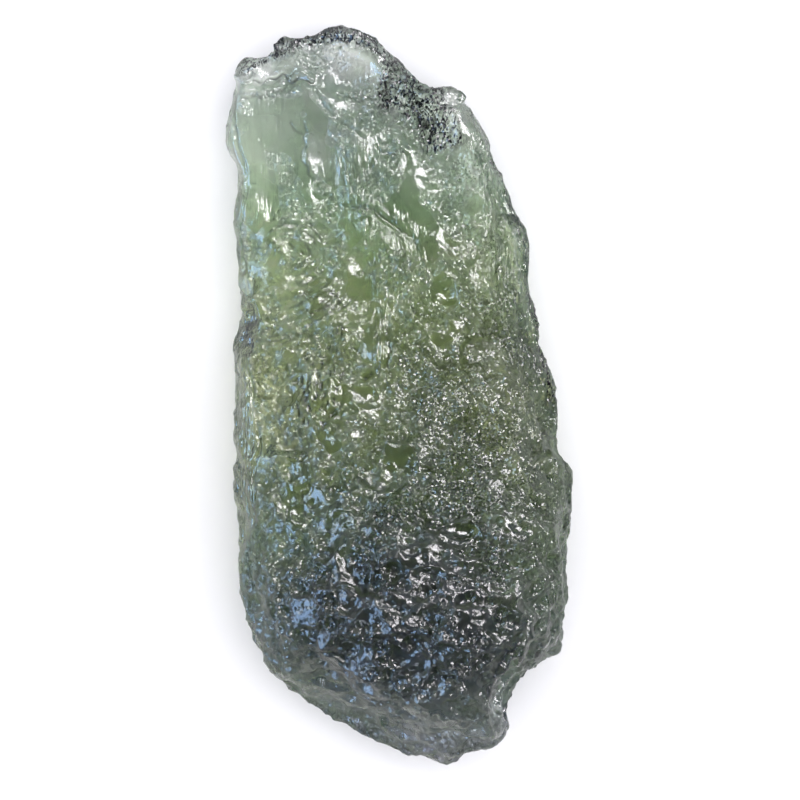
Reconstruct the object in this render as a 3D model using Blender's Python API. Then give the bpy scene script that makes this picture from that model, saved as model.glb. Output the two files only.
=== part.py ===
"""A natural piece of green tektite glass: one solid stone, lying on its flattest side.

The stone's long axis runs along Y, its thin broken end at +Y and its thick foot at -Y.
It rests on a small flat spot at Z = 0, and the origin is under the middle of its outline.
Lengths here are in millimetres, and the mesh is scaled to metres when it is made.
"""

import math

import bmesh
import bpy
import numpy as np
from mathutils import Vector, geometry, kdtree, noise

MM = 0.001

# The stone as seen from above, clockwise from its tip, measured from the middle of the outline.
TIP = [
    (-3.5, 19.0), (-1.9, 18.7), (-1.1, 18.2), (-0.85, 17.7), (0.0, 17.3), (0.5, 16.65),
    (1.25, 16.05), (1.85, 15.9), (2.5, 16.05), (3.1, 15.7),
]
RIGHT_SIDE = [
    (3.5, 14.95), (4.55, 13.35), (4.9, 12.4), (5.4, 11.3), (6.15, 9.3), (6.65, 8.6), (6.8, 7.8),
    (6.7, 6.6), (6.95, 5.2), (7.4, 3.3), (7.35, 2.8), (7.6, 2.0), (8.0, 1.1), (8.25, -0.1),
    (8.25, -2.2), (8.65, -3.0), (9.1, -3.55), (9.2, -4.3), (9.05, -5.4), (9.1, -6.1),
    (8.8, -7.7), (8.85, -8.4), (8.55, -9.2), (8.6, -10.2), (8.35, -11.3), (8.4, -12.3),
    (8.1, -13.2),
]
FOOT = [
    (7.4, -13.85), (7.05, -14.6), (6.4, -15.1), (6.0, -15.7), (5.8, -16.6), (5.5, -17.5),
    (4.85, -18.1), (3.65, -18.25), (3.1, -18.7), (2.6, -19.0), (1.55, -18.95), (0.0, -18.65),
    (-1.9, -17.75), (-2.9, -17.4), (-3.8, -16.9), (-4.7, -16.15), (-5.7, -15.55),
    (-6.4, -14.7),
]
LEFT_SIDE = [
    (-7.2, -13.95), (-7.7, -12.8), (-8.2, -9.8), (-8.4, -6.5), (-8.6, -2.0), (-8.7, 1.5),
    (-8.5, 4.6), (-8.55, 5.7), (-8.8, 8.0), (-8.65, 9.5), (-8.4, 10.6), (-8.6, 11.8),
    (-9.1, 12.45), (-9.2, 13.3), (-9.15, 14.3), (-8.8, 15.2), (-8.55, 15.85), (-8.7, 16.5),
    (-8.35, 17.25), (-7.9, 17.6), (-7.1, 17.5), (-6.55, 17.7), (-6.3, 18.15), (-5.6, 18.5),
]
OUTLINE = TIP + RIGHT_SIDE + FOOT + LEFT_SIDE

# How the stone's form changes from the foot to the tip: pairs of a place on Y and a value there.
CREST_HEIGHT = [
    (-19.5, 6.6), (-17.0, 9.4), (-14.5, 11.2), (-11.5, 12.2), (-8.5, 11.4), (-5.0, 9.5),
    (-1.0, 7.7), (4.0, 6.2), (9.0, 5.2), (14.0, 4.7), (17.0, 4.3), (19.5, 3.6),
]
CREST_X = [(-19.5, 1.8), (-13.0, 1.6), (-8.0, 1.0), (0.0, 0.2), (10.0, -1.5), (19.5, -3.0)]
FALL_TO_LEFT = [
    (-19.5, 3.4), (-14.0, 3.6), (-10.0, 3.2), (-5.0, 1.9), (1.0, 0.9), (10.0, 0.5), (19.5, 0.4),
]
FALL_TO_RIGHT = [(-19.5, 2.4), (-13.0, 2.4), (-5.0, 1.9), (3.0, 1.4), (11.0, 0.8), (19.5, 0.5)]
LEFT_RIM = [(-19.5, 3.2), (-12.0, 3.1), (-5.0, 2.8), (5.0, 2.6), (12.0, 2.4), (19.5, 2.4)]
RIGHT_RIM = [(-19.5, 3.0), (-12.0, 3.7), (-4.0, 3.4), (5.0, 2.9), (12.0, 2.5), (19.5, 2.4)]
LEFT_SHOULDER = [
    (-19.5, 1.6), (-12.0, 1.9), (-7.0, 1.25), (-1.0, 1.15), (5.0, 0.75), (10.0, 0.55),
    (13.5, 0.75), (16.0, 0.6), (19.5, 0.9),
]
RIGHT_SHOULDER = [
    (-19.5, 1.4), (-12.0, 2.3), (-5.0, 2.0), (2.0, 2.2), (8.0, 1.7), (13.0, 0.9), (19.5, 0.9),
]
UNDERSIDE = [
    (-19.5, 2.5), (-16.0, 1.25), (-12.0, 0.3), (-8.0, -0.15), (-2.5, -0.28), (3.0, -0.1),
    (8.0, 0.5), (13.0, 1.05), (17.0, 1.45), (19.5, 1.7),
]
UNDERSIDE_LIFT = 1.8  # how far the underside rises from its middle line to its sides
UNDERSIDE_TURN = 3.4  # how far in from the outline the underside is still curving up
HALF_WIDTH = 8.5
SIDE_SPLIT = 3.0  # left and right values blend within this distance of the middle line

# The broken plane at the foot's left, from the outline up to the thick part's top.
END_FACE_FROM = (-6.6, -14.9)
END_FACE_TO = (2.8, -19.2)
END_FACE_STEEPNESS = 2.7

# Bowl-shaped hollows: middle, half-lengths along and across, turn in degrees, and depth.
# The middle's Z is only what face of the stone the hollow is on: high, low or a side.
HOLLOWS = [
    ("tip chip", (-2.8, 16.6, 4.4), (1.9, 1.5), 25.0, 0.6),
    ("tip ledge", (-6.4, 16.3, 4.3), (1.7, 0.9), 8.0, 0.55),
    ("corner break", (0.5, 14.2, 4.7), (2.1, 1.3), -45.0, 0.65),
    ("leaf chip", (-3.9, 11.6, 5.0), (2.9, 0.95), 98.0, 0.25),
    ("window", (-6.0, 12.3, 4.9), (3.4, 1.5), 80.0, 0.2),
    ("lens pit", (2.35, 4.9, 6.1), (0.75, 0.65), 0.0, 0.3),
    ("shell", (4.4, 2.2, 6.6), (1.5, 1.0), 20.0, 0.35),
    ("upper scoop", (7.6, -0.9, 5.0), (1.3, 0.7), 80.0, 0.55),
    ("big scoop", (7.7, -4.3, 5.2), (1.45, 1.05), 85.0, 0.85),
    ("lower scoop", (7.9, -6.6, 5.0), (1.2, 0.9), 90.0, 0.45),
    ("right dell", (6.9, -10.0, 8.0), (1.4, 1.1), 90.0, 0.55),
    ("foot notch", (6.3, -15.4, 4.6), (1.7, 1.0), 60.0, 1.0),
    ("foot facet", (5.4, -15.2, 8.2), (1.6, 0.8), 70.0, 0.7),
    ("olive lens", (3.2, -6.9, 9.8), (1.0, 0.6), -15.0, 0.3),
    ("hump dell", (0.6, -13.2, 11.5), (1.3, 1.0), 30.0, 0.4),
    ("crest dell", (-1.6, -8.9, 11.2), (1.7, 1.1), -20.0, 0.4),
    ("left dell", (-5.6, -8.2, 9.0), (1.3, 1.0), 60.0, 0.35),
    ("left bite", (-8.0, 3.3, 4.2), (1.5, 0.8), 90.0, 0.4),
    ("middle furrow", (-2.4, 1.4, 7.0), (2.6, 0.7), 75.0, 0.3),
    ("cross furrow", (-4.6, 5.9, 5.8), (2.0, 0.55), 5.0, 0.3),
    ("crack line", (0.6, 9.2, 5.2), (2.6, 0.45), -35.0, 0.25),
    ("underside dish", (2.6, 8.5, 0.8), (2.6, 1.7), 70.0, 0.5),
    ("underside bowl", (-3.2, -13.6, 1.0), (2.0, 1.6), 20.0, 0.5),
]

# Long grooves in the upper surface, as seen from above: from, to, half-width and depth.
GROOVES = [
    ((4.3, 13.0), (5.9, 7.2), 0.28, 0.22),
    ((4.9, 11.4), (6.5, 5.6), 0.26, 0.2),
    ((5.2, 8.4), (5.9, 2.6), 0.3, 0.24),
    ((6.7, 5.6), (7.3, 0.9), 0.26, 0.2),
    ((-8.1, 9.8), (-8.1, 6.0), 0.25, 0.15),
    ((-7.4, -1.0), (-7.4, -6.4), 0.25, 0.16),
]

# Sizes of the corrosion pits that cover the stone: radius, depth and how many.
PIT_SIZES = [(1.5, 0.45, 90), (0.95, 0.32, 250), (0.6, 0.18, 420)]
PIT_SEED = 11
SMOOTH_WINDOW = (-5.2, 12.6, 3.6, 3.9)  # middle and half-sizes of the area with few pits
RIM_SHARE = 0.4  # how much of the relief is left at the outline, which has its own roughness
LUMPS = [(6.5, 0.4), (2.6, 0.2)]  # wavelength and height of the surface's own waves

OUTLINE_STEP = 0.35
RING_DEPTHS = (0.05, 0.12, 0.22, 0.36, 0.55, 0.8, 1.1, 1.5)
GRID_STEP = 0.55
VOXEL = 0.24
TRIANGLES = 8600


def smooth_through(pairs, at):
    """Values of a smooth curve through the pairs, at an array of places."""
    places = np.array([p for p, _ in pairs])
    values = np.array([v for _, v in pairs])
    slopes = np.gradient(values, places)
    at = np.clip(at, places[0], places[-1])
    i = np.clip(np.searchsorted(places, at) - 1, 0, len(places) - 2)
    span = places[i + 1] - places[i]
    t = (at - places[i]) / span
    return (
        values[i] * (1 + 2 * t) * (1 - t) ** 2
        + values[i + 1] * t**2 * (3 - 2 * t)
        + slopes[i] * span * t * (1 - t) ** 2
        - slopes[i + 1] * span * t**2 * (1 - t)
    )


def smoothstep(low, high, x):
    t = np.clip((x - low) / (high - low), 0, 1)
    return t * t * (3 - 2 * t)


def outline_curve():
    """Points a step apart on a smooth closed curve through the outline's own points."""
    own = np.array(OUTLINE)
    before, after, later = np.roll(own, 1, 0), np.roll(own, -1, 0), np.roll(own, -2, 0)
    fine = []
    for t in np.linspace(0, 1, 12, endpoint=False):
        fine.append(
            0.5
            * (
                2 * own
                + (after - before) * t
                + (2 * before - 5 * own + 4 * after - later) * t**2
                + (3 * own - before - 3 * after + later) * t**3
            )
        )
    fine = np.stack(fine, 1).reshape(-1, 2)
    gaps = np.linalg.norm(np.roll(fine, -1, 0) - fine, axis=1)
    along = np.concatenate([[0], np.cumsum(gaps)])
    closed = np.vstack([fine, fine[:1]])
    wanted = np.linspace(0, along[-1], round(along[-1] / OUTLINE_STEP), endpoint=False)
    return np.stack([np.interp(wanted, along, closed[:, k]) for k in (0, 1)], 1)


def distance_to(curve, points):
    """How far each point is from the closed curve."""
    start, step = curve, np.roll(curve, -1, 0) - curve
    away = points[:, None, :] - start[None]
    share = np.clip((away * step).sum(2) / (step**2).sum(1), 0, 1)
    return np.linalg.norm(away - share[..., None] * step, axis=2).min(1)


def inside(curve, points):
    """True for each point within the closed curve."""
    x, y = points[:, 0, None], points[:, 1, None]
    (x0, y0), (x1, y1) = curve.T, np.roll(curve, -1, 0).T
    crosses = (y0 > y) != (y1 > y)
    reach = x0 + (y - y0) * (x1 - x0) / np.where(y1 == y0, 1, y1 - y0)
    return (crosses & (x < reach)).sum(1) % 2 == 1


def by_side(left, right, x, y):
    """A value that is the left side's at the left, the right side's at the right."""
    share = smoothstep(-SIDE_SPLIT, SIDE_SPLIT, x)
    return smooth_through(left, y) * (1 - share) + smooth_through(right, y) * share


def rim_height(x, y):
    return by_side(LEFT_RIM, RIGHT_RIM, x, y)


def top_height(x, y, depth_in):
    """Height of the upper surface, for points this far in from the outline."""
    across = (x - smooth_through(CREST_X, y)) / HALF_WIDTH
    fall = np.where(across < 0, smooth_through(FALL_TO_LEFT, y), smooth_through(FALL_TO_RIGHT, y))
    crest = smooth_through(CREST_HEIGHT, y) - fall * across**2
    rim = rim_height(x, y)
    t = np.clip(depth_in / by_side(LEFT_SHOULDER, RIGHT_SHOULDER, x, y), 0, 1)
    height = rim + (crest - rim) * (1 - (1 - t) ** 1.9) ** (1 / 1.7)
    (ax, ay), (bx, by) = END_FACE_FROM, END_FACE_TO
    length = math.hypot(bx - ax, by - ay)
    inwards = ((x - ax) * (ay - by) + (y - ay) * (bx - ax)) / length
    end_face = rim + 0.5 + np.maximum(inwards, -0.2) * END_FACE_STEEPNESS
    return np.minimum(height, np.maximum(end_face, rim))


def bottom_height(x, y, depth_in):
    """Height of the underside, for points this far in from the outline."""
    low = smooth_through(UNDERSIDE, y) + UNDERSIDE_LIFT * (x / HALF_WIDTH) ** 2
    rim = rim_height(x, y)
    t = np.clip(depth_in / UNDERSIDE_TURN, 0, 1)
    return rim - (rim - np.minimum(low, rim)) * (1 - (1 - t) ** 2.3) ** (1 / 2.3)


def blank_stone():
    """The stone's overall form: an upper and a lower sheet that meet at the outline."""
    curve = outline_curve()
    ahead, behind = np.roll(curve, -1, 0), np.roll(curve, 1, 0)
    tangent = (ahead - behind) / np.linalg.norm(ahead - behind, axis=1)[:, None]
    inward = np.stack([tangent[:, 1], -tangent[:, 0]], 1)
    inner = []
    for depth in RING_DEPTHS:
        ring = curve + inward * depth
        keep = inside(curve, ring) & (distance_to(curve, ring) > 0.93 * depth)
        inner.append(ring[keep])
    half = np.abs(curve).max(0)
    gx, gy = np.meshgrid(*[np.arange(-h, h, GRID_STEP) for h in half])
    grid = np.stack([gx.ravel(), gy.ravel()], 1)
    grid = grid[inside(curve, grid)]
    inner.append(grid[distance_to(curve, grid) > RING_DEPTHS[-1] + 0.3])
    flat = np.vstack([curve] + inner)
    rim_edges = [(i, (i + 1) % len(curve)) for i in range(len(curve))]
    cells = geometry.delaunay_2d_cdt([Vector(p) for p in flat], rim_edges, [], 1, 1e-6)
    flat = np.array([tuple(p) for p in cells[0]])
    depth_in = np.where(distance_to(curve, flat) < 1e-4, 0.0, distance_to(curve, flat))
    x, y = flat.T
    top = np.column_stack([flat, top_height(x, y, depth_in)])
    bottom = np.column_stack([flat, bottom_height(x, y, depth_in)])

    bm = bmesh.new()
    upper = [bm.verts.new(p) for p in top]
    lower = [upper[i] if depth_in[i] == 0 else bm.verts.new(bottom[i]) for i in range(len(flat))]
    for face in cells[2]:
        bm.faces.new([upper[i] for i in face])
        bm.faces.new([lower[i] for i in reversed(face)])
    bmesh.ops.recalc_face_normals(bm, faces=bm.faces)
    mesh = bpy.data.meshes.new("blank")
    bm.to_mesh(mesh)
    bm.free()
    return mesh


def with_modifier(mesh, kind, **settings):
    """The mesh after one modifier."""
    carrier = bpy.data.objects.new("carrier", mesh)
    bpy.context.scene.collection.objects.link(carrier)
    modifier = carrier.modifiers.new(kind.lower(), kind)
    for name, value in settings.items():
        setattr(modifier, name, value)
    graph = bpy.context.evaluated_depsgraph_get()
    made = bpy.data.meshes.new_from_object(carrier.evaluated_get(graph))
    bpy.data.objects.remove(carrier)
    return made


def vertex_arrays(mesh):
    """The places and the normals of a mesh's vertices."""
    places = np.empty(len(mesh.vertices) * 3)
    normals = np.empty(len(mesh.vertices) * 3)
    mesh.vertices.foreach_get("co", places)
    mesh.vertex_normals.foreach_get("vector", normals)
    return places.reshape(-1, 3), normals.reshape(-1, 3)


def hollow_depths(places):
    """How deep the named hollows are cut at each place."""
    cut = np.zeros(len(places))
    for _, middle, (along, across), turn, depth in HOLLOWS:
        away = places - np.array(middle)
        c, s = math.cos(math.radians(turn)), math.sin(math.radians(turn))
        u = (away[:, 0] * c + away[:, 1] * s) / along
        v = (-away[:, 0] * s + away[:, 1] * c) / across
        w = away[:, 2] / (along + across + 1.0)
        bowl = 1 - (u**2 + v**2 + w**2)
        cut = np.maximum(cut, depth * np.clip(bowl, 0, 1) ** 0.8)
    return cut


def groove_depths(places):
    """How deep the long grooves are cut at each place."""
    seen = places[:, :2]
    cut = np.zeros(len(places))
    for start, end, half_width, depth in GROOVES:
        a, b = np.array(start), np.array(end)
        share = np.clip(((seen - a) @ (b - a)) / ((b - a) @ (b - a)), 0, 1)
        gap = np.linalg.norm(seen - a - share[:, None] * (b - a), axis=1)
        ends = np.minimum(share, 1 - share) * 6
        cut += depth * np.clip(1 - (gap / half_width / 2) ** 2, 0, 1) * np.clip(ends, 0.2, 1)
    return cut * smoothstep(0.1, 0.8, places[:, 2] - rim_height(*seen.T))


def calm_share(places):
    """From 0 in the smooth window on top of the stone to 1 everywhere else."""
    x, y, half_x, half_y = SMOOTH_WINDOW
    off = ((places[:, 0] - x) / half_x) ** 2 + ((places[:, 1] - y) / half_y) ** 2
    return np.maximum(smoothstep(0.6, 1.3, off), smoothstep(3.4, 2.6, places[:, 2]))


def pit_depths(places):
    """How deep the corrosion pits are cut at each place: cups that meet in sharp ridges."""
    tree = kdtree.KDTree(len(places))
    for i, place in enumerate(places):
        tree.insert(place, i)
    tree.balance()
    rng = np.random.default_rng(PIT_SEED)
    cut = np.zeros(len(places))
    for radius, depth, count in PIT_SIZES:
        for middle in rng.choice(len(places), count, replace=False):
            r = radius * rng.uniform(0.75, 1.25)
            near = tree.find_range(places[middle], r)
            rows = np.array([i for _, i, _ in near])
            gaps = np.array([gap for _, _, gap in near])
            cut[rows] = np.maximum(cut[rows], depth * (1 - (gaps / r) ** 2))
    return cut * (0.12 + 0.88 * calm_share(places))


def wave_heights(places):
    """The surface's own gentle unevenness."""
    total = np.zeros(len(places))
    for wavelength, height in LUMPS:
        scaled = places / wavelength
        total += height * np.array([noise.noise(p) for p in scaled])
    return total * (0.35 + 0.65 * calm_share(places))


def sculpt(mesh):
    """Cuts the hollows, grooves and pits into the stone, along its normals."""
    places, normals = vertex_arrays(mesh)
    move = wave_heights(places) - hollow_depths(places) - groove_depths(places)
    move -= pit_depths(places)
    from_rim = np.abs(places[:, 2] - rim_height(places[:, 0], places[:, 1]))
    move *= RIM_SHARE + (1 - RIM_SHARE) * smoothstep(0.1, 0.9, from_rim)
    move *= smoothstep(0.0, 0.5, places[:, 2])
    move = np.minimum(move, 0.4 * np.abs(places[:, 2]))
    mesh.vertices.foreach_set("co", (places + normals * move[:, None]).ravel())
    mesh.update()


def rest_on_flat_spot(mesh):
    """Cuts the lowest part off at Z = 0, puts the origin under the middle and scales to metres."""
    bm = bmesh.new()
    bm.from_mesh(mesh)
    cut = bmesh.ops.bisect_plane(
        bm,
        geom=bm.verts[:] + bm.edges[:] + bm.faces[:],
        dist=1e-4,
        plane_co=(0, 0, 0),
        plane_no=(0, 0, 1),
        clear_inner=True,
    )
    rim = [e for e in cut["geom_cut"] if isinstance(e, bmesh.types.BMEdge)]
    for vert in {v for e in rim for v in e.verts}:
        vert.co.z = 0
    bmesh.ops.holes_fill(bm, edges=rim, sides=0)
    corners = np.array([v.co for v in bm.verts])
    middle = (corners.min(0) + corners.max(0)) / 2
    bmesh.ops.translate(bm, verts=bm.verts, vec=(-middle[0], -middle[1], 0))
    bmesh.ops.scale(bm, verts=bm.verts, vec=(MM, MM, MM))
    bmesh.ops.recalc_face_normals(bm, faces=bm.faces)
    bm.to_mesh(mesh)
    bm.free()


def tektite_glass():
    """Bottle-green glass that light passes through."""
    material = bpy.data.materials.new("green_tektite_glass")
    material.use_nodes = True
    shader = material.node_tree.nodes["Principled BSDF"]
    shader.inputs["Base Color"].default_value = (0.30, 0.40, 0.16, 1)
    shader.inputs["Roughness"].default_value = 0.18
    shader.inputs["Metallic"].default_value = 0.0
    shader.inputs["Transmission Weight"].default_value = 0.8
    shader.inputs["IOR"].default_value = 1.49
    return material


def build_stone():
    mesh = with_modifier(blank_stone(), "REMESH", mode="VOXEL", voxel_size=VOXEL)
    sculpt(mesh)
    share = TRIANGLES / (2 * len(mesh.polygons))
    mesh = with_modifier(mesh, "DECIMATE", ratio=share, use_collapse_triangulate=True)
    rest_on_flat_spot(mesh)
    mesh.name = "moldavite"
    mesh.materials.append(tektite_glass())
    stone = bpy.data.objects.new("moldavite", mesh)
    bpy.context.scene.collection.objects.link(stone)
    return stone


def main():
    for item in list(bpy.data.objects):
        bpy.data.objects.remove(item)
    build_stone()


main()
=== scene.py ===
"""A green tektite glass stone on a pale floor, seen from straight above.

The stone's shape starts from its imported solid. Its finer relief is carved into a denser mesh:
what lies on top is laid out in the camera's own frame, in pixels of an 800 by 800 view, and the
rest of the stone gets pits of the same kind all round.
"""

import math

import bpy
import numpy as np
from mathutils import Matrix, Vector, kdtree, noise


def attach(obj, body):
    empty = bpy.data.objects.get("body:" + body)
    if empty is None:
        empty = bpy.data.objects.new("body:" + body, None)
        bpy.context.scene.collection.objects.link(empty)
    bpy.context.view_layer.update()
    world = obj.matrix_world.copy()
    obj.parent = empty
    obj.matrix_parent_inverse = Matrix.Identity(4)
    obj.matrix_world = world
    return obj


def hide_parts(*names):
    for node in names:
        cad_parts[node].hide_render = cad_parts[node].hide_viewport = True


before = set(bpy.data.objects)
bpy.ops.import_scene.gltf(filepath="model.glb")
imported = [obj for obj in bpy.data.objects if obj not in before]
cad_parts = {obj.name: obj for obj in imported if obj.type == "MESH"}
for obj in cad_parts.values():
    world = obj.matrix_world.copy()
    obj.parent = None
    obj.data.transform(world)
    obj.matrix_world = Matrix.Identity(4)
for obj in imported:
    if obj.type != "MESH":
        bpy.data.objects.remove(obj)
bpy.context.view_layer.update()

MM = 0.001

# The camera looks straight down. One pixel of its 800 by 800 view is this many millimetres wide
# at the height of the stone's outline.
PIXEL = 0.05156
RIM_HEIGHT = 3.0
LENS = 200.0
SENSOR = 36.0
VIEW_CENTRE = (0.036, -0.247)
CAMERA_ABOVE_RIM = 800 * PIXEL * LENS / SENSOR

# The denser mesh: the size of its cells in millimetres before it is thinned, how often the
# solid's facets are smoothed, and how many triangles are left.
VOXEL = 0.115
SMOOTHING = 36
TRIANGLES = 196000

# Where the stone's areas are, as ellipses: middle, half-sizes, turn in degrees.
WINDOW = (286, 150, 56, 62, 0)
TIP_BOWL = (347, 70, 27, 27, 0)
GREEN_ZONE = (392, 205, 52, 46, 50)
HUMP = (395, 640, 150, 92, 10)
END_FACE = (345, 722, 105, 26, 27)
BROKEN_PATCH = (408, 108, 42, 30, 35)

# Smooth clear spots with sharp edges: middle, half-sizes, turn and depth in millimetres.
BOWLS = [
    (347, 71, 27, 25, 20, 0.16), (444, 292, 13, 13, 0, 0.22), (463, 530, 15, 10, -10, 0.2),
    (547, 473, 17, 19, 0, 0.35), (552, 414, 12, 19, 0, 0.22), (534, 600, 16, 16, 0, 0.35),
    (487, 354, 27, 17, 8, 0.22), (436, 322, 14, 7, 38, 0.16), (459, 445, 8, 12, 10, 0.14),
    (482, 520, 8, 12, -20, 0.14), (496, 488, 11, 10, 0, 0.14), (466, 656, 9, 9, 0, 0.16),
    (448, 634, 7, 7, 0, 0.14), (499, 636, 9, 9, 0, 0.18), (451, 681, 13, 6, 0, 0.18),
    (284, 46, 9, 5, -30, 0.2), (248, 75, 10, 5, -12, 0.22), (451, 98, 13, 8, -10, 0.3),
    (548, 512, 14, 17, 0, 0.22), (553, 560, 14, 14, 0, 0.25), (307, 497, 18, 9, 0, 0.14),
    (252, 318, 8, 14, 0, 0.14), (331, 160, 12, 30, -8, 0.04), (318, 660, 14, 10, 20, 0.2),
    (354, 57, 4, 4, 0, 0.1), (375, 733, 11, 4, 10, 0.12), (470, 250, 15, 15, 0, 0.12),
    (410, 345, 15, 22, 0, 0.12), (503, 205, 5, 22, -14, 0.1), (420, 620, 13, 10, 0, 0.2),
    (505, 690, 9, 24, 18, 0.3), (385, 600, 12, 9, 20, 0.2), (350, 610, 10, 9, 0, 0.2),
    (395, 660, 14, 9, 0, 0.22), (430, 575, 11, 9, 0, 0.2), (470, 600, 12, 10, 0, 0.2),
    (510, 570, 10, 9, 0, 0.18),
]

# Flat faces that catch the light: middle, half-sizes, turn, the direction they face as degrees
# from +X, and how far they lean from straight up, in degrees.
FACES = [
    (487, 354, 21, 15, 8, 95, 30), (508, 686, 6, 24, 18, 35, 30), (496, 488, 11, 10, 0, 55, 26),
    (452, 99, 12, 8, -10, 50, 23), (284, 46, 10, 5, -30, 95, 30), (246, 76, 10, 4, -12, 95, 30),
    (470, 250, 9, 12, 0, 50, 23), (462, 402, 9, 6, 30, 60, 26), (412, 622, 9, 7, 0, 50, 23),
    (450, 588, 9, 7, 0, 50, 23), (400, 640, 6, 5, 0, 50, 23), (432, 598, 6, 5, 20, 50, 23),
    (478, 612, 8, 6, 0, 50, 23), (520, 590, 7, 8, 0, 50, 26), (546, 462, 8, 5, 0, 50, 24),
    (477, 372, 7, 9, -30, 95, 30), (395, 130, 8, 7, 0, 95, 30), (320, 187, 7, 10, -20, 95, 30),
    (246, 285, 5, 11, 0, 190, 36), (300, 612, 14, 18, 0, 190, 38), (345, 590, 12, 9, 10, 150, 24),
    (366, 655, 9, 8, 0, 190, 36), (322, 640, 9, 9, 0, 190, 38), (458, 440, 5, 8, 0, 150, 24),
]

# How much of the finer relief a flat face loses, how deep and high it may reach in millimetres,
# how frosted it is, and how soft its edge is.
FACE_CALM = 0.6
FACE_REACH = (-0.5, 0.3)
FACE_FROST = 0.3
FACE_EDGE = 0.3

# Narrow slits and pits, with painted shade along their middles: points, half-width in pixels and
# depth in millimetres.
GROOVES = [
    ([(360, 379), (368, 375), (375, 371)], 3.4, 0.35),
    ([(328, 416), (333, 411), (337, 407)], 2.4, 0.3),
    ([(284, 449), (291, 446), (298, 441)], 1.8, 0.18),
    ([(337, 46), (339, 49)], 3.0, 0.4),
    ([(317, 353), (321, 356.5), (326, 353)], 1.6, 0.16),
    ([(424, 468), (430, 469), (435, 472)], 2.0, 0.2),
    ([(240, 318), (242, 312), (244, 308)], 1.8, 0.2),
    ([(412, 305), (414, 310), (418, 312)], 1.6, 0.14),
    ([(265, 231), (271, 227), (280, 226), (291, 224), (299, 226), (309, 225), (320, 229)], 2.2, 0.12),
    ([(312, 80), (316, 91), (322, 103), (329, 112), (341, 122), (350, 127), (359, 135),
      (367, 143)], 1.8, 0.1),
    ([(338, 205), (350, 207), (370, 209), (377, 213), (390, 223), (402, 232), (416, 241)], 2.4, 0.12),
    ([(337, 145), (341, 155), (343, 167), (344, 183), (345, 199)], 1.5, 0.08),
    ([(341, 140), (346, 155), (348, 168), (349, 186)], 1.4, 0.07),
    ([(234, 84), (234, 99), (233, 116), (236, 135), (239, 150), (245, 166), (247, 185)], 1.8, 0.16),
    ([(247, 185), (243, 205), (239, 226), (238, 236), (243, 268), (252, 282), (249, 300)], 1.6, 0.12),
    ([(251, 338), (244, 352), (245, 361), (249, 379), (252, 395), (254, 406)], 2.0, 0.16),
    ([(254, 406), (257, 428), (258, 451), (254, 462), (253, 477), (254, 492), (253, 513),
      (258, 531)], 1.6, 0.14),
    ([(450, 519), (460, 515), (470, 511), (479, 507)], 2.0, 0.12),
    ([(530, 457), (535, 451), (541, 448), (549, 452)], 2.0, 0.16),
    ([(538, 430), (548, 433), (558, 437)], 1.6, 0.14),
    ([(503, 262), (500, 268), (498, 276)], 2.0, 0.16),
]

# Edges where one side stands higher: points, height in millimetres, and how many pixels it
# takes to fade on the higher side. The higher side is on the left along the points.
# Painted shade darkens the lower side at the foot of each edge.
LEDGES = [
    ([(236, 97), (250, 96), (262, 95), (272, 95), (280, 92)], 0.1, 9),
    ([(236, 92), (252, 93), (266, 92), (278, 89), (286, 84)], 0.12, 8),
    ([(238, 84), (248, 81), (254, 80), (269, 79), (278, 75), (283, 71), (288, 79), (300, 76),
      (312, 80), (320, 70)], 0.2, 12),
    ([(305, 114), (305, 126), (308, 135), (306, 144), (305, 155), (307, 167), (312, 174), (318, 184),
      (325, 192), (338, 204)], 0.09, 14),
    ([(293, 119), (294, 127), (299, 132), (304, 134)], 0.08, 7),
    ([(377, 140), (380, 149), (388, 153), (394, 150), (404, 151), (412, 157)], 0.1, 9),
    ([(391, 318), (391, 335), (391, 353), (389, 375), (388, 400)], 0.12, 10),
    ([(505, 338), (490, 335), (474, 339), (462, 338)], 0.14, 10),
    ([(337, 88), (345, 94), (357, 97), (369, 96), (375, 93)], 0.12, 9),
    ([(528, 640), (514, 656), (501, 670), (495, 687), (492, 705)], 0.22, 16),
    ([(272, 660), (279, 672), (306, 672), (324, 671), (345, 679), (358, 682), (383, 684), (402, 694),
      (421, 706), (440, 724), (463, 725), (487, 728)], 0.14, 14),
    ([(475, 125), (484, 160), (490, 182), (500, 210), (509, 235), (514, 262), (518, 300), (524, 340),
      (532, 370)], 0.14, 12),
    ([(321, 43), (333, 38), (350, 38), (365, 42), (374, 50)], 0.12, 9),
    ([(334, 338), (342, 330), (353, 333)], 0.1, 5),
    ([(339, 352), (347, 346.5), (357, 348)], 0.1, 5),
    ([(460, 748), (473, 742), (487, 739), (500, 738)], 0.12, 8),
    ([(262, 640), (272, 655), (290, 690), (320, 712)], 0.08, 10),
]
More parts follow.
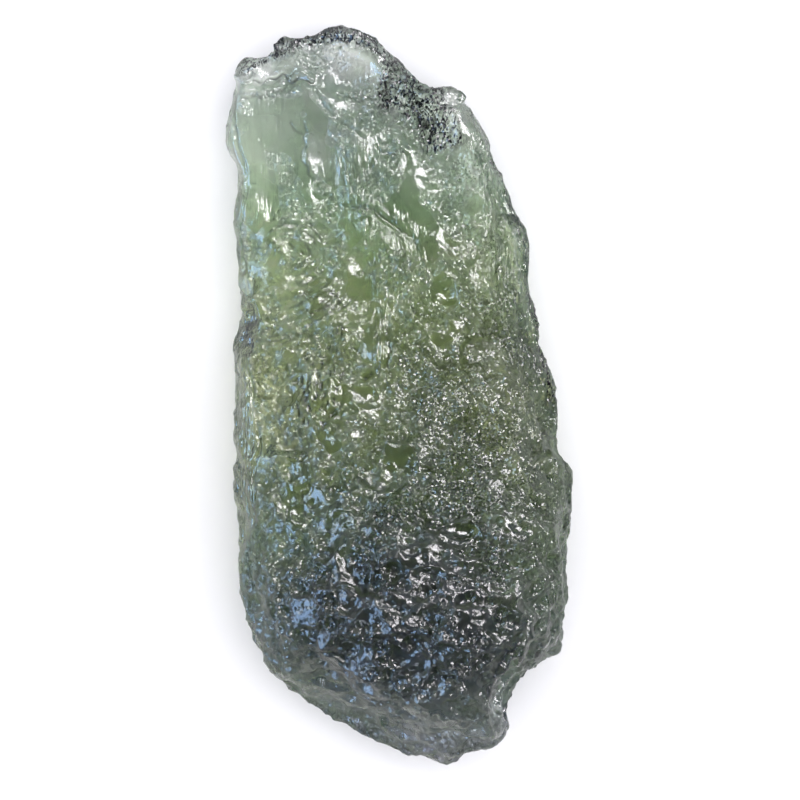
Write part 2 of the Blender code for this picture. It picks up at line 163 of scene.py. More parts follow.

# Flow lines in the glass: a guide line, how far they reach from it, their length, their
# spacing (all in pixels), and their height in millimetres.
# Painted shade darkens the troughs between the flow lines.
FLOWS = [
    ([(480, 130), (500, 185), (515, 250), (522, 310), (545, 390)], 26, 60, 3.4, 0.05),
    ([(256, 334), (277, 330), (291, 322), (306, 315), (322, 306), (345, 286)], 30, 26, 3.8, 0.06),
    ([(268, 262), (274, 240), (291, 231), (308, 240), (313, 256), (304, 272),
      (288, 277)], 20, 22, 3.6, 0.05),
    ([(352, 150), (366, 195), (392, 240), (410, 290)], 38, 46, 4.2, 0.035),
    ([(250, 95), (262, 150), (270, 205)], 42, 60, 6.0, 0.012),
    ([(383, 312), (382, 400)], 10, 40, 2.8, 0.05),
    ([(285, 690), (345, 714), (425, 748)], 24, 40, 4.0, 0.03),
    ([(325, 352), (310, 435)], 36, 13, 4.4, 0.12),
    ([(340, 322), (330, 352)], 12, 14, 2.6, 0.09),
    ([(300, 372), (290, 440), (296, 520)], 26, 34, 5.0, 0.04),
    ([(378, 88), (405, 98), (430, 108)], 24, 12, 3.4, 0.22),
    ([(405, 104), (425, 110), (432, 132)], 18, 14, 3.2, 0.2),
    ([(246, 60), (277, 47), (300, 36), (331, 31), (362, 36), (382, 50), (405, 70), (430, 92),
      (455, 92)], 9, 16, 3.2, 0.16),
    ([(562, 456), (568, 500), (564, 560)], 14, 40, 3.0, 0.04),
    ([(240, 380), (243, 470), (248, 560)], 14, 50, 3.4, 0.03),
    ([(335, 140), (344, 165), (346, 200)], 7, 30, 2.2, 0.04),
]

# Where fine streaks run along the stone: a guide line, how far they reach from it, how strong.
STREAKS = [
    ([(480, 120), (500, 185), (515, 250), (522, 310), (545, 390), (555, 450)], 34, 1.0),
    ([(262, 80), (270, 150), (290, 230)], 48, 0.35),
    ([(352, 130), (366, 195), (392, 240), (400, 340)], 46, 0.6),
    ([(383, 300), (380, 400)], 14, 1.0),
    ([(240, 220), (243, 400), (250, 600)], 14, 0.8),
    ([(560, 450), (566, 520), (560, 620)], 18, 1.0),
    ([(275, 680), (345, 716), (430, 745)], 30, 0.5),
    ([(340, 60), (372, 84)], 26, 0.4),
]

# Bands of painted shade along the stone's rim and on the broken patch near the tip, drawn as dark
# splinters: a guide line, how far they reach from it, and how dark.
PAINTED_SHADE_BANDS = [
    ([(232, 84), (238, 70), (250, 58), (277, 45), (300, 34), (331, 28), (362, 33), (384, 48),
      (405, 70), (430, 90), (462, 90)], 20, 1.0),
    ([(372, 88), (400, 88), (425, 104), (440, 125), (450, 155)], 32, 1.0),
    ([(384, 50), (412, 92), (430, 110)], 16, 0.9),
    ([(462, 92), (482, 130), (497, 165), (515, 210), (528, 250), (531, 290), (545, 350),
      (560, 420)], 9, 0.8),
    ([(560, 420), (572, 460), (570, 520), (560, 600), (545, 650), (515, 690), (505, 735)], 8, 0.4),
    ([(250, 300), (248, 330), (246, 360)], 7, 0.9),
    ([(244, 520), (247, 600), (265, 655), (290, 690), (340, 720), (400, 750), (450, 760),
      (500, 740)], 6, 0.4),
]

# Painted light (over 1) and painted shade (under 1) in the glass's tint, lighter on clear bowls,
# bright chips and the pale rims and darker on the thick hump and the middle: middle, half-sizes,
# turn and how much.
PAINTED_LIGHT_AND_SHADE = [
    (326, 160, 17, 34, -8, 1.45), (392, 205, 45, 40, 50, 0.85), (347, 71, 26, 24, 20, 1.15),
    (282, 46, 11, 6, -30, 1.7), (246, 75, 12, 6, -12, 1.7), (452, 99, 14, 9, -10, 1.7),
    (240, 430, 14, 130, 0, 2.5), (236, 250, 10, 90, 0, 2.0), (400, 625, 135, 80, 10, 0.13),
    (440, 545, 90, 30, 10, 0.55), (485, 430, 85, 130, 0, 0.5), (330, 505, 70, 35, 0, 0.8),
    (507, 690, 9, 26, 20, 2.5), (330, 700, 60, 18, 25, 1.3), (345, 400, 45, 55, 0, 1.3),
    (510, 240, 16, 90, -14, 1.5),
]

# Places that are smoother (below zero) or more frosted (above zero) than what is around them:
# middle, half-sizes, turn, and how much.
PATCHES = [
    (*WINDOW, -0.7), (*TIP_BOWL, -0.35), (*GREEN_ZONE, -0.5), (*BROKEN_PATCH, 0.7), (*END_FACE, -0.3),
    (*HUMP, 0.1), (444, 292, 15, 15, 0, -1.0), (463, 530, 17, 11, -10, -1.0),
    (307, 497, 20, 11, 0, -0.8), (295, 512, 10, 20, 0, -0.8), (252, 318, 8, 16, 0, -0.8),
    (382, 330, 9, 30, 0, -0.7), (395, 130, 14, 20, 0, -0.5), (415, 200, 30, 40, 0, -0.3),
    (437, 322, 13, 8, 38, 0.3), (410, 345, 16, 25, 0, 0.4), (345, 400, 26, 16, 0, -0.5),
    (340, 440, 30, 12, 10, -0.4), (395, 455, 14, 16, 0, -0.4), (320, 180, 10, 14, -20, 0.4),
    (336, 192, 12, 8, 20, 0.4), (445, 175, 24, 40, 0, 0.25), (300, 610, 40, 50, 0, 0.5),
    (547, 473, 15, 17, 0, -0.3), (552, 414, 10, 17, 0, 0.3), (534, 600, 13, 13, 0, -0.2),
    (240, 440, 14, 110, 0, -0.8), (360, 745, 90, 14, 24, -0.3), (480, 430, 60, 60, 0, 0.3),
]

# The stone's corrosion pits: radius and depth in millimetres, and how many on the whole stone.
PITS = [(0.66, 0.22, 900), (0.4, 0.17, 3200), (0.25, 0.1, 8000)]
PIT_SEED = 5

# The etched surface's grain and the glass's broad waves: length and height in millimetres.
GRAIN = [(0.3, 0.1), (0.17, 0.05)]
WAVES = (1.1, 0.08)

# How rough the relief is along the stone, by place on Y in millimetres.
RUGGED_AT = (-8, 0, 9)
RUGGED = (1, 0.8, 0.5)

# Where the relief, the colours and the spots of painted light and shade laid out on the view fade
# in, by the upward part of the surface's normal: none below the first value, and all above the second.
RELIEF_FACING = (0.02, 0.35)
COLOUR_FACING = (-0.3, 0.1)
SPOT_FACING = (-0.2, 0.2)

# The relief fades out within this many millimetres above the floor.
REST_FADE = 0.5

# The glass's tint from the foot to the tip, by place on Y in millimetres: its own green, with painted
# shade on the thick hump and a painted lavender reflection on the end face at the foot.
TINTS = [
    (-19.0, (0.58, 0.56, 0.7)), (-12.0, (0.37, 0.43, 0.4)), (-6.5, (0.66, 0.73, 0.5)),
    (-1.0, (1.0, 1.0, 0.6)), (6.0, (0.88, 0.99, 0.6)), (10.0, (0.8, 0.97, 0.7)),
    (14.0, (0.88, 1.0, 0.84)), (19.0, (0.88, 0.94, 0.88)),
]

# Lighter and darker patches in the glass: their size in millimetres and how strong they are, and
# where their pattern starts.
MOTTLING = [(1.3, 0.45), (0.5, 0.45)]
MOTTLING_SHIFT = (7, 3, 5)

# How strongly the glass bends light, and how much of each colour it takes, per metre.
REFRACTION = 1.49
ABSORPTION = (66.0, 53.0, 86.0)

# How dark the painted shade is at the bottoms of slits, the feet of ledges and between flow
# lines, where 1 is black.
PAINTED_CREVICE_SHADE = 0.94

# The fine streaks' size across, along and up the stone, and their height, in millimetres.
STREAK_SIZE = (0.16, 1.6, 0.3)
STREAK_HEIGHT = 0.16

# The size across, along and up, in millimetres, of the dark and light splinters of painted shade,
# how ragged they are, between which noise values they go from dark to light, and how much of them
# the etched surface shows elsewhere.
SPLINTER_SIZE = (0.22, 0.42, 0.3)
SPLINTER_RAGGED = 1.6
SPLINTER_EDGE = (0.44, 0.6)
SPLINTERS_IN_FROST = 0.4

# The glass's roughness where it is smooth and where it is etched, and the two amounts of frost
# between which it goes from one to the other.
ROUGHNESS = (0.2, 0.28)
ROUGHNESS_FROST = (0.05, 0.2)

# The finest facets of the etched surface: their size in millimetres, and how far they lean on
# most of the stone and on its thick end.
FACETS = [(0.1, 0.9, 0.5), (0.3, 0.3, 0.5)]

# The floor's half-size in metres and its colour.
FLOOR_REACH = 2.0
FLOOR_COLOUR = (0.86, 0.86, 0.87, 1)

# Daylight, which falls on the floor only, from far off so that the floor is evenly lit. Then the
# soft boxes, which are seen only as highlights. Each has a name, a distance in
# metres, azimuth from +X and elevation in degrees, width in metres, brightness and colour.
DAYLIGHT = ("day", 20.0, 10, 66, 22.0, 1.38, (1.0, 0.99, 1.0))
SOFT_BOXES = [
    ("key", 0.6, 50, 44, 0.3, 28.0, (0.98, 0.95, 1.0)),
    ("right", 0.6, 20, 40, 0.22, 30.0, (1.0, 0.97, 1.0)),
    ("top", 0.6, 95, 30, 0.2, 15.0, (0.98, 0.98, 1.0)),
    ("left", 0.6, 165, 30, 0.14, 24.0, (0.85, 0.93, 1.0)),
    ("blue", 0.6, 190, 14, 0.5, 13.0, (0.4, 0.62, 1.0)),
    ("pale_blue", 0.6, 150, 42, 0.2, 13.0, (0.6, 0.78, 1.0)),
    ("front", 0.6, 275, 38, 0.2, 14.0, (0.78, 0.84, 1.0)),
]

# Brightness of the studio from the horizon up to straight overhead: as light that passes through
# the glass, as it is mirrored in the stone's surface, as light that falls on the floor, and as
# light that reaches the floor through the stone.
SKY = [(0.0, 0.1), (0.3, 0.3), (0.55, 1.0), (1.0, 1.4)]
MIRRORED_SKY = [(0.0, 1.0), (0.25, 0.5), (0.5, 0.22), (0.8, 0.1), (1.0, 0.03)]
SKY_ON_FLOOR = [(0.0, 0.12), (0.3, 0.37), (0.55, 1.2), (1.0, 1.68)]
SKY_IN_SHADOW = [(0.0, 1.05), (0.5, 1.7), (1.0, 2.35)]
SKY_TINT = (0.99, 0.98, 1.03)
MIRRORED_TINT = (0.6, 0.78, 1.25)
SHADOW_TINT = (1.6, 0.5, 3.2)


def smoothstep(low, high, x):
    t = np.clip((x - low) / (high - low), 0, 1)
    return t * t * (3 - 2 * t)


def in_ellipse(uv, x, y, half_x, half_y, turn):
    """0 at the middle of an ellipse, 1 on its edge and more outside."""
    c, s = math.cos(math.radians(turn)), math.sin(math.radians(turn))
    dx, dy = uv[:, 0] - x, uv[:, 1] - y
    return np.hypot((dx * c + dy * s) / half_x, (-dx * s + dy * c) / half_y)


def area(uv, ellipse, soft=0.35):
    """1 inside the ellipse, fading to 0 outside it."""
    return smoothstep(1 + soft, 1 - soft, in_ellipse(uv, *ellipse))


def smooth_line(points):
    """The points with others between them on a smooth curve."""
    own = np.array(points, float)
    if len(own) < 3:
        return own
    ends = np.vstack([2 * own[0] - own[1], own, 2 * own[-1] - own[-2]])
    p0, p1, p2, p3 = ends[:-3], ends[1:-2], ends[2:-1], ends[3:]
    steps = []
    for t in (0, 0.25, 0.5, 0.75):
        square = (2 * p0 - 5 * p1 + 4 * p2 - p3) * t**2
        cube = (3 * p1 - p0 - 3 * p2 + p3) * t**3
        steps.append(0.5 * (2 * p1 + (p2 - p0) * t + square + cube))
    return np.vstack([np.stack(steps, 1).reshape(-1, 2), own[-1:]])


def near_line(uv, points, reach):
    """Rows within reach of a line, with how far to its left they are and how far along it."""
    line = smooth_line(points)
    low, high = line.min(0) - reach, line.max(0) + reach
    rows = np.nonzero(((uv > low) & (uv < high)).all(1))[0]
    places = uv[rows]
    best = np.full(len(rows), np.inf)
    left = np.zeros(len(rows))
    along = np.zeros(len(rows))
    start = 0.0
    for a, b in zip(line[:-1], line[1:]):
        step = b - a
        length = math.hypot(*step)
        away = places - a
        share = np.clip(away @ step / length**2, 0, 1)
        off = away - share[:, None] * step
        gap = np.hypot(off[:, 0], off[:, 1])
        closer = gap < best
        side = np.sign(step[1] * off[:, 0] - step[0] * off[:, 1])
        best[closer] = gap[closer]
        left[closer] = (gap * side)[closer]
        along[closer] = (start + share * length)[closer]
        start += length
    keep = best < reach
    return rows[keep], left[keep], along[keep], start


def end_fade(along, length, over):
    return smoothstep(0, over, along) * smoothstep(0, over, length - along)


def carve_top(uv):
    """The relief laid out on the view, in millimetres, and the painted shade in its crevices, up to 1."""
    height = np.zeros(len(uv))
    shade = np.zeros(len(uv))
    for x, y, half_x, half_y, turn, depth in BOWLS:
        off = in_ellipse(uv, x, y, half_x, half_y, turn)
        wobble = 1 + 0.12 * np.sin(np.arctan2(uv[:, 1] - y, uv[:, 0] - x) * 3 + x)
        height -= depth * np.clip(1 - (off / wobble) ** 2, 0, 1)
        height += 0.14 * depth * np.exp(-(((off / wobble - 1.06) / 0.12) ** 2))
    for points, half_width, depth in GROOVES:
        rows, left, along, length = near_line(uv, points, half_width * 3)
        lips = np.exp(-(((np.abs(left) - 2 * half_width) / half_width) ** 2))
        shape = np.exp(-((left / half_width) ** 2)) - 0.25 * lips
        height[rows] -= depth * shape * (0.25 + 0.75 * end_fade(along, length, 0.3 * length))
        # Painted shade along the middle of the slit.
        dark = np.exp(-((left / half_width) ** 2)) * end_fade(along, length, 0.2 * length)
        shade[rows] = np.maximum(shade[rows], min(1, 0.35 + 2.5 * depth) * dark)
    for points, rise, fade in LEDGES:
        rows, left, along, length = near_line(uv, points, fade * 2.5)
        wave = left + 1.2 * np.sin(along / 3.1) + 0.8 * np.sin(along / 1.9 + 1)
        shape = np.where(wave > 0, np.exp(-wave / fade), -0.6 * np.exp(wave / fade * 1.6))
        edge = np.clip(wave / 1.6, -1, 1)
        shape = np.where(np.abs(wave) < 1.6, 0.2 + 0.8 * edge, shape)
        height[rows] += rise * shape * end_fade(along, length, 0.15 * length)
        # Painted shade at the foot of the ledge, on its lower side.
        dark = np.exp(-(((wave + 1.4) / 1.5) ** 2)) * end_fade(along, length, 0.15 * length)
        shade[rows] = np.maximum(shade[rows], min(1, 0.4 + 3 * rise) * dark)
    for number, (points, reach, long, spacing, rise) in enumerate(FLOWS):
        rows, left, along, length = near_line(uv, points, reach)
        lines = np.array([noise.noise((a / long, d / spacing, 3.7 * number)) for a, d in zip(along, left)])
        weight = smoothstep(1, 0.5, np.abs(left) / reach) * end_fade(along, length, 0.12 * length)
        height[rows] += rise * weight * (1 - 2.6 * np.abs(lines))
        # Painted shade in the troughs between the flow lines.
        dark = weight * smoothstep(0.15, 0.4, np.abs(lines))
        shade[rows] = np.maximum(shade[rows], min(1, 12 * rise) * dark)
    return height, shade


def flat_faces(height, uv, top_share, places, normals):
    """The relief with its flat faces."""
    for x, y, half_x, half_y, turn, toward, lean in FACES:
        weight = area(uv, (x, y, half_x, half_y, turn), FACE_EDGE) * top_share
        core = weight > 0.8
        if not core.any():
            continue
        a, e = math.radians(toward), math.radians(lean)
        facing = np.array([math.sin(e) * math.cos(a), math.sin(e) * math.sin(a), math.cos(e)])
        reach = (places[core].mean(0) - places) @ facing / np.maximum(normals @ facing, 0.3)
        height = height + weight * (np.clip(reach, *FACE_REACH) - FACE_CALM * height)
    return height


def band_amount(uv, bands):
    """How much each place is in one of the bands, from 0 to 1."""
    band_share = np.zeros(len(uv))
    for points, reach, amount in bands:
        rows, left, along, length = near_line(uv, points, reach)
        weight = smoothstep(1, 0.4, np.abs(left) / reach) * end_fade(along, length, 0.1 * length)
        band_share[rows] = np.maximum(band_share[rows], amount * weight)
    return band_share


def frost_amount(uv, top_share, places):
    """How frosted the surface is, from 0 (clear and smooth) to 1 (fully etched)."""
    drift = np.array([noise.noise(p / 2.2) + 0.7 * noise.noise(p / 0.9) for p in places])
    frost = np.clip(0.48 + 1.1 * drift, 0.1, 1)
    on_top = np.zeros(len(uv))
    for x, y, half_x, half_y, turn, amount in PATCHES:
        on_top += amount * area(uv, (x, y, half_x, half_y, turn), 0.45)
    frost = np.clip(frost + on_top, 0.02, 1) * top_share + 0.35 * frost * (1 - top_share)
    for x, y, half_x, half_y, turn, _, _ in FACES:
        inside = area(uv, (x, y, half_x, half_y, turn), FACE_EDGE) * top_share
        frost += (FACE_FROST - frost) * inside
    return frost


def pit_relief(places, weights):
    """Cups that meet in ridges, in millimetres below the surface."""
    tree = kdtree.KDTree(len(places))
    for row, place in enumerate(places):
        tree.insert(place, row)
    tree.balance()
    rng = np.random.default_rng(PIT_SEED)
    total = np.zeros(len(places))
    for size, (radius, depth, count) in enumerate(PITS):
        cut = np.zeros(len(places))
        for middle in rng.choice(len(places), count, replace=False):
            reach = radius * rng.uniform(0.7, 1.3)
            lift = depth * rng.uniform(0.6, 1.2) * weights[size][middle]
            near = tree.find_range(places[middle], reach)
            rows = np.array([row for _, row, _ in near])
            gaps = np.array([gap for _, _, gap in near])
            cut[rows] = np.maximum(cut[rows], lift * (1 - (gaps / reach) ** 2))
        total += cut
    return total


def view_places(places):
    """Where the camera sees each place, in pixels of an 800 by 800 view."""
    nearer = CAMERA_ABOVE_RIM / (CAMERA_ABOVE_RIM - (places[:, 2] - RIM_HEIGHT))
    across = (places[:, 0] - VIEW_CENTRE[0]) * nearer / PIXEL
    along = (places[:, 1] - VIEW_CENTRE[1]) * nearer / PIXEL
    return np.stack([400 + across, 400 - along], 1)


def with_modifier(mesh, kind, carrier=None, **settings):
    """The mesh after one modifier."""
    carrier = carrier or bpy.data.objects.new("carrier", mesh)
    bpy.context.scene.collection.objects.link(carrier)
    modifier = carrier.modifiers.new(kind.lower(), kind)
    for name, value in settings.items():
        setattr(modifier, name, value)
    graph = bpy.context.evaluated_depsgraph_get()
    made = bpy.data.meshes.new_from_object(carrier.evaluated_get(graph))
    bpy.data.objects.remove(carrier)
    return made


def vertex_arrays(mesh):
    places = np.empty(len(mesh.vertices) * 3, np.float32)
    normals = np.empty(len(mesh.vertices) * 3, np.float32)
    mesh.vertices.foreach_get("co", places)
    mesh.vertex_normals.foreach_get("vector", normals)
    return places.reshape(-1, 3).astype(float), normals.reshape(-1, 3).astype(float)


def thinned(mesh, normals):
    """The mesh with fewer triangles, which it loses first on the underside."""
    share = TRIANGLES / (2 * len(mesh.polygons))
    if share >= 1:
        return mesh
    carrier = bpy.data.objects.new("carrier", mesh)
    group = carrier.vertex_groups.new(name="underside")
    under = normals[:, 2] < -0.2
    group.add(np.nonzero(under)[0].tolist(), 1.0, "REPLACE")
    group.add(np.nonzero(~under)[0].tolist(), 0.02, "REPLACE")
    return with_modifier(
        mesh, "DECIMATE", carrier, ratio=share, use_collapse_triangulate=True, vertex_group="underside",
        vertex_group_factor=10.0,
    )


def store(mesh, name, values):
    attribute = mesh.attributes.new(name, "FLOAT", "POINT")
    attribute.data.foreach_set("value", values.astype(np.float32))


def tint_and_painted_light(uv, places, normals, shade, calm):
    """The surface's tint with painted shade in its crevices, random mottling, and spots of painted light
    and shade, as rows of red, green, blue and 1.
    """
    # Painted shade at the bottoms of slits, the feet of ledges and between flow lines.
    light = 1 - PAINTED_CREVICE_SHADE * shade
    for size, amount in MOTTLING:
        patches = np.array([noise.noise(p / size + np.array(MOTTLING_SHIFT)) for p in places])
        light *= 1 + amount * patches * calm
    # Spots of painted light and painted shade.
    for x, y, half_x, half_y, turn, amount in PAINTED_LIGHT_AND_SHADE:
        inside = area(uv, (x, y, half_x, half_y, turn)) * smoothstep(*SPOT_FACING, normals[:, 2])
        light *= 1 + (amount - 1) * inside
    # The tint along the stone, with painted shade on the hump and a painted reflection at the foot.
    along = [place for place, _ in TINTS]
    tint = [light * np.interp(places[:, 1], along, [colour[k] for _, colour in TINTS]) for k in range(3)]
    return np.stack([*np.minimum(tint, 1), np.ones(len(places))], 1)


def carved_stone():
    """The stone's mesh in millimetres, with all of its relief."""
    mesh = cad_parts["moldavite"].data.copy()
    mesh.transform(Matrix.Scale(1 / MM, 4))
    mesh = with_modifier(mesh, "REMESH", mode="VOXEL", voxel_size=VOXEL)
    mesh = with_modifier(mesh, "SMOOTH", factor=0.5, iterations=SMOOTHING)
    places, normals = vertex_arrays(mesh)
    uv = view_places(places)
    top_share = smoothstep(*RELIEF_FACING, normals[:, 2])
    seen = smoothstep(*COLOUR_FACING, normals[:, 2])
    frost = frost_amount(uv, top_share, places)
    hump = area(uv, HUMP) * top_share
    window = np.maximum(area(uv, WINDOW), 0.7 * area(uv, TIP_BOWL)) * top_share
    green = area(uv, GREEN_ZONE) * top_share
    end_face = area(uv, END_FACE) * top_share
    calm = np.clip(1 - 0.93 * window - 0.75 * green - 0.6 * end_face, 0.05, 1)
    rugged = np.interp(places[:, 1], RUGGED_AT, RUGGED)
    weights = [
        calm * rugged * (0.7 + 0.6 * hump),
        calm * rugged * (0.75 + 0.6 * hump),
        calm * rugged * (1 - 0.6 * hump) * (0.4 + frost),
    ]

    height, shade = carve_top(uv)
    height *= top_share
    length, rise = WAVES
    waves = np.array([noise.noise(p / length) for p in places])
    height += rise * waves * (0.15 + 0.85 * calm)
    for length, rise in GRAIN:
        grain = np.array([noise.noise(p / length) for p in places])
        height += rise * grain * frost * rugged * (1 - 0.5 * hump)
    height -= pit_relief(places, weights)
    height = flat_faces(height, uv, top_share, places, normals)
    height *= smoothstep(0.0, REST_FADE, places[:, 2])
    height = np.minimum(height, 0.3 * places[:, 2])
    moved = places + normals * height[:, None]
    moved[:, 2] = np.maximum(moved[:, 2], 0)
    mesh.vertices.foreach_set("co", moved.astype(np.float32).ravel())
    mesh.update()

    store(mesh, "frost", frost)
    store(mesh, "coarse", hump)
    # How far each place lies in the bands of painted shade.
    store(mesh, "band_share", band_amount(uv, PAINTED_SHADE_BANDS) * seen)
    store(mesh, "streaks", band_amount(uv, STREAKS) * seen + 0.25 * (1 - seen))
    # The tint holds painted shade and painted light as well as the glass's own colour.
    colours = mesh.attributes.new("tint", "FLOAT_COLOR", "POINT")
    tint = tint_and_painted_light(uv, places, normals, shade * seen, calm)
    colours.data.foreach_set("color", tint.astype(np.float32).ravel())
    return thinned(mesh, normals)


def stored(nodes, name):
    """What the mesh holds under a name, as a node."""
    attribute = nodes.new("ShaderNodeAttribute")
    attribute.attribute_name = name
    return attribute.outputs


def stretched_noise(nodes, links, spot, size, ragged):
    """Noise whose size across, along and up the stone is given in millimetres."""
    stretched = nodes.new("ShaderNodeMapping")
    stretched.inputs["Scale"].default_value = tuple(1 / (length * MM) for length in size)
    links.new(spot, stretched.inputs["Vector"])
    pattern = nodes.new("ShaderNodeTexNoise")
    pattern.inputs["Scale"].default_value = 1.0
    pattern.inputs["Detail"].default_value = 1.0
    pattern.inputs["Distortion"].default_value = ragged
    links.new(stretched.outputs["Vector"], pattern.inputs["Vector"])
    return pattern.outputs["Fac"]


def ranged(nodes, links, value, within, to=(0.0, 1.0)):
    """A value spread from one range over another."""
    spread = nodes.new("ShaderNodeMapRange")
    spread.inputs["From Min"].default_value = within[0]
    spread.inputs["From Max"].default_value = within[1]
    spread.inputs["To Min"].default_value = to[0]
    spread.inputs["To Max"].default_value = to[1]
    links.new(value, spread.inputs["Value"])
    return spread.outputs["Result"]


def scaled(nodes, links, vector, scale):
    product = nodes.new("ShaderNodeVectorMath")
    product.operation = "SCALE"
    links.new(vector, product.inputs[0])
    links.new(scale, product.inputs["Scale"])
    return product.outputs["Vector"]


def tint_with_splinter_shade(nodes, links, spot, tint, frost):
    """The stone's tint with painted shade as dark splinters, strongest in the bands of painted shade and
    fainter where the glass is etched.
    """
    pattern = stretched_noise(nodes, links, spot, SPLINTER_SIZE, SPLINTER_RAGGED)
    unshaded = ranged(nodes, links, pattern, SPLINTER_EDGE)
    band_share = stored(nodes, "band_share")["Fac"]
    # Painted shade: the splinters darken the shaded bands fully and the etched surface in part.
    everywhere = nodes.new("ShaderNodeMath")
    everywhere.operation = "MULTIPLY_ADD"
    everywhere.inputs[1].default_value = SPLINTERS_IN_FROST
    everywhere.use_clamp = True
    links.new(frost, everywhere.inputs[0])
    links.new(band_share, everywhere.inputs[2])
    dimmed = nodes.new("ShaderNodeMix")
    links.new(everywhere.outputs["Value"], dimmed.inputs["Factor"])
    dimmed.inputs["A"].default_value = 1.0
    links.new(unshaded, dimmed.inputs["B"])
    return scaled(nodes, links, tint, dimmed.outputs["Result"])


def streaked_normal(nodes, links, spot):
    """The surface with its fine streaks."""
    pattern = stretched_noise(nodes, links, spot, STREAK_SIZE, 0.0)
    streaks = stored(nodes, "streaks")["Fac"]
    bump = nodes.new("ShaderNodeBump")
    bump.inputs["Distance"].default_value = STREAK_HEIGHT * MM
    links.new(streaks, bump.inputs["Strength"])
    links.new(pattern, bump.inputs["Height"])
    return bump.outputs["Normal"]


def faceted_normal(nodes, links, spot, normal, frost, coarse):
    """The surface with small facets that lean every way, the more the more it is frosted."""
    for size, tilt, on_hump in FACETS:
        cells = nodes.new("ShaderNodeTexVoronoi")
        cells.inputs["Scale"].default_value = 1 / (size * MM)
        links.new(spot, cells.inputs["Vector"])
        centred = nodes.new("ShaderNodeVectorMath")
        centred.operation = "SUBTRACT"
        centred.inputs[1].default_value = (0.5, 0.5, 0.5)
        links.new(cells.outputs["Color"], centred.inputs[0])
        amount = nodes.new("ShaderNodeMath")
        amount.operation = "MULTIPLY"
        links.new(frost, amount.inputs[0])
        steep = nodes.new("ShaderNodeMix")
        steep.inputs["A"].default_value = 2 * tilt
        steep.inputs["B"].default_value = 2 * on_hump
        links.new(coarse, steep.inputs["Factor"])
        links.new(steep.outputs["Result"], amount.inputs[1])
        lean = scaled(nodes, links, centred.outputs["Vector"], amount.outputs["Value"])
        both = nodes.new("ShaderNodeVectorMath")
        both.operation = "ADD"
        links.new(normal, both.inputs[0])
        links.new(lean, both.inputs[1])
        normal = both.outputs["Vector"]
    whole = nodes.new("ShaderNodeVectorMath")
    whole.operation = "NORMALIZE"
    links.new(normal, whole.inputs[0])
    return whole.outputs["Vector"]


def tektite_glass():
    """Green glass: clear where it is smooth, and sparkling where it is etched."""
    material = bpy.data.materials.new("tektite_glass")
    material.use_nodes = True
    nodes, links = material.node_tree.nodes, material.node_tree.links
    shader = nodes["Principled BSDF"]
    shader.inputs["Metallic"].default_value = 0.0
    shader.inputs["Transmission Weight"].default_value = 1.0
    shader.inputs["IOR"].default_value = REFRACTION
    # The stored tint holds the glass's colour with painted shade and painted light.
    tint = stored(nodes, "tint")["Color"]
    frost = stored(nodes, "frost")["Fac"]
    spot = nodes.new("ShaderNodeTexCoord").outputs["Object"]
    colour = tint_with_splinter_shade(nodes, links, spot, tint, frost)
    links.new(colour, shader.inputs["Base Color"])
    rough = ranged(nodes, links, frost, ROUGHNESS_FROST, ROUGHNESS)
    links.new(rough, shader.inputs["Roughness"])
    coarse = stored(nodes, "coarse")["Fac"]
    normal = streaked_normal(nodes, links, spot)
    normal = faceted_normal(nodes, links, spot, normal, frost, coarse)
    links.new(normal, shader.inputs["Normal"])

    inside = nodes.new("ShaderNodeVolumeAbsorption")
    most = max(ABSORPTION)
    inside.inputs["Color"].default_value = (*(1 - a / most for a in ABSORPTION), 1)
    inside.inputs["Density"].default_value = most
    links.new(inside.outputs["Volume"], nodes["Material Output"].inputs["Volume"])
    return material


def build_stone():
    mesh = carved_stone()
    mesh.transform(Matrix.Scale(MM, 4))
    mesh.name = "tektite_stone"
    mesh.materials.clear()
    mesh.materials.append(tektite_glass())
    mesh.polygons.foreach_set("use_smooth", [True] * len(mesh.polygons))
    stone = bpy.data.objects.new("tektite_stone", mesh)
    bpy.context.scene.collection.objects.link(stone)
    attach(stone, "root")
    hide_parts("moldavite")


def build_floor():
    reach = FLOOR_REACH
    mesh = bpy.data.meshes.new("floor")
    corners = [(-reach, -reach, 0), (reach, -reach, 0), (reach, reach, 0), (-reach, reach, 0)]
    mesh.from_pydata(corners, [], [(0, 1, 2, 3)])
    material = bpy.data.materials.new("pale_floor")
    material.use_nodes = True
    shader = material.node_tree.nodes["Principled BSDF"]
    shader.inputs["Base Color"].default_value = FLOOR_COLOUR
    shader.inputs["Roughness"].default_value = 0.9
    shader.inputs["Specular IOR Level"].default_value = 0.1
    mesh.materials.append(material)
    floor = bpy.data.objects.new("floor", mesh)
    bpy.context.scene.collection.objects.link(floor)


def build_camera():
    camera = bpy.data.cameras.new("camera")
    camera.lens = LENS
    camera.sensor_width = SENSOR
    camera.clip_start = 0.01
    camera.clip_end = 10
    seat = bpy.data.objects.new("camera", camera)
    seat.location = Vector((*VIEW_CENTRE, RIM_HEIGHT + CAMERA_ABOVE_RIM)) * MM
    bpy.context.scene.collection.objects.link(seat)
    bpy.context.scene.camera = seat


def sky_ramp(nodes, links, height, stops, sky_tint=SKY_TINT):
    """The studio's colour by height, from 0 at the horizon to 1 overhead."""
    ramp = nodes.new("ShaderNodeValToRGB")
    while len(ramp.color_ramp.elements) < len(stops):
        ramp.color_ramp.elements.new(0.5)
    for element, (position, brightness) in zip(ramp.color_ramp.elements, stops):
        element.position = position
        element.color = (*(brightness * tint for tint in sky_tint), 1)
    links.new(height, ramp.inputs["Fac"])
    return ramp.outputs["Color"]


def chosen(nodes, links, when, then, otherwise):
    """One of two colours, by a ray's kind."""
    mix = nodes.new("ShaderNodeMix")
    mix.data_type = "RGBA"
    links.new(when, mix.inputs["Factor"])
    links.new(otherwise, mix.inputs["A"])
    links.new(then, mix.inputs["B"])
    return mix.outputs["Result"]


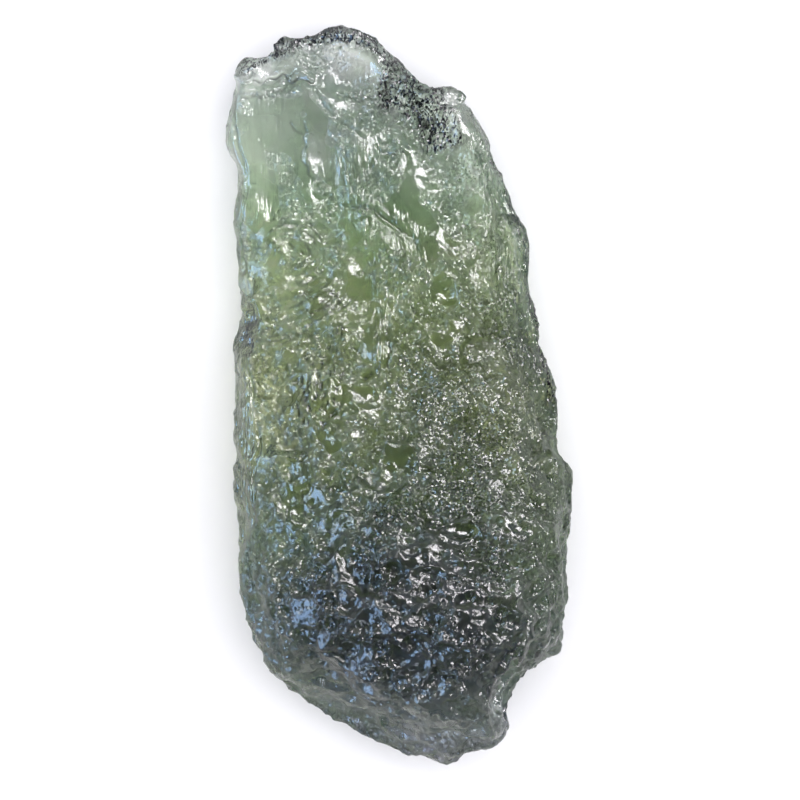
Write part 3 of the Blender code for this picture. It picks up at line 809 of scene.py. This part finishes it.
def build_world():
    world = bpy.data.worlds.new("studio")
    bpy.context.scene.world = world
    world.use_nodes = True
    nodes, links = world.node_tree.nodes, world.node_tree.links
    spot = nodes.new("ShaderNodeTexCoord")
    split = nodes.new("ShaderNodeSeparateXYZ")
    links.new(spot.outputs["Generated"], split.inputs["Vector"])
    height = split.outputs["Z"]
    ray = nodes.new("ShaderNodeLightPath")
    through = sky_ramp(nodes, links, height, SKY)
    mirrored = sky_ramp(nodes, links, height, MIRRORED_SKY, MIRRORED_TINT)
    white = sky_ramp(nodes, links, height, [(0.0, 1.0), (1.0, 1.0)])
    from_floor = nodes.new("ShaderNodeMath")
    from_floor.operation = "GREATER_THAN"
    from_floor.inputs[1].default_value = 0.5
    links.new(ray.outputs["Diffuse Depth"], from_floor.inputs[0])
    shadow = sky_ramp(nodes, links, height, SKY_IN_SHADOW, SHADOW_TINT)
    through = chosen(nodes, links, from_floor.outputs["Value"], shadow, through)
    on_floor = sky_ramp(nodes, links, height, SKY_ON_FLOOR)
    colour = chosen(nodes, links, ray.outputs["Is Transmission Ray"], through, on_floor)
    colour = chosen(nodes, links, ray.outputs["Is Glossy Ray"], mirrored, colour)
    colour = chosen(nodes, links, ray.outputs["Is Camera Ray"], white, colour)
    links.new(colour, nodes["Background"].inputs["Color"])


def build_light(name, distance, azimuth, elevation, width, brightness, colour):
    light = bpy.data.lights.new(name, "AREA")
    light.shape = "DISK"
    light.size = width
    light.color = colour
    light.energy = brightness * math.pi**2 * (width / 2) ** 2
    seat = bpy.data.objects.new(name, light)
    a, e = math.radians(azimuth), math.radians(elevation)
    place = Vector((math.cos(e) * math.cos(a), math.cos(e) * math.sin(a), math.sin(e)))
    seat.location = place * distance
    seat.rotation_euler = place.to_track_quat("Z", "Y").to_euler()
    seat.visible_camera = False
    seat.visible_transmission = False
    bpy.context.scene.collection.objects.link(seat)
    return seat


def build_lights():
    build_light(*DAYLIGHT).visible_glossy = False
    for box in SOFT_BOXES:
        build_light(*box).visible_diffuse = False


build_camera()
build_floor()
build_world()
build_lights()
build_stone()
bpy.context.scene.view_settings.view_transform = "Standard"
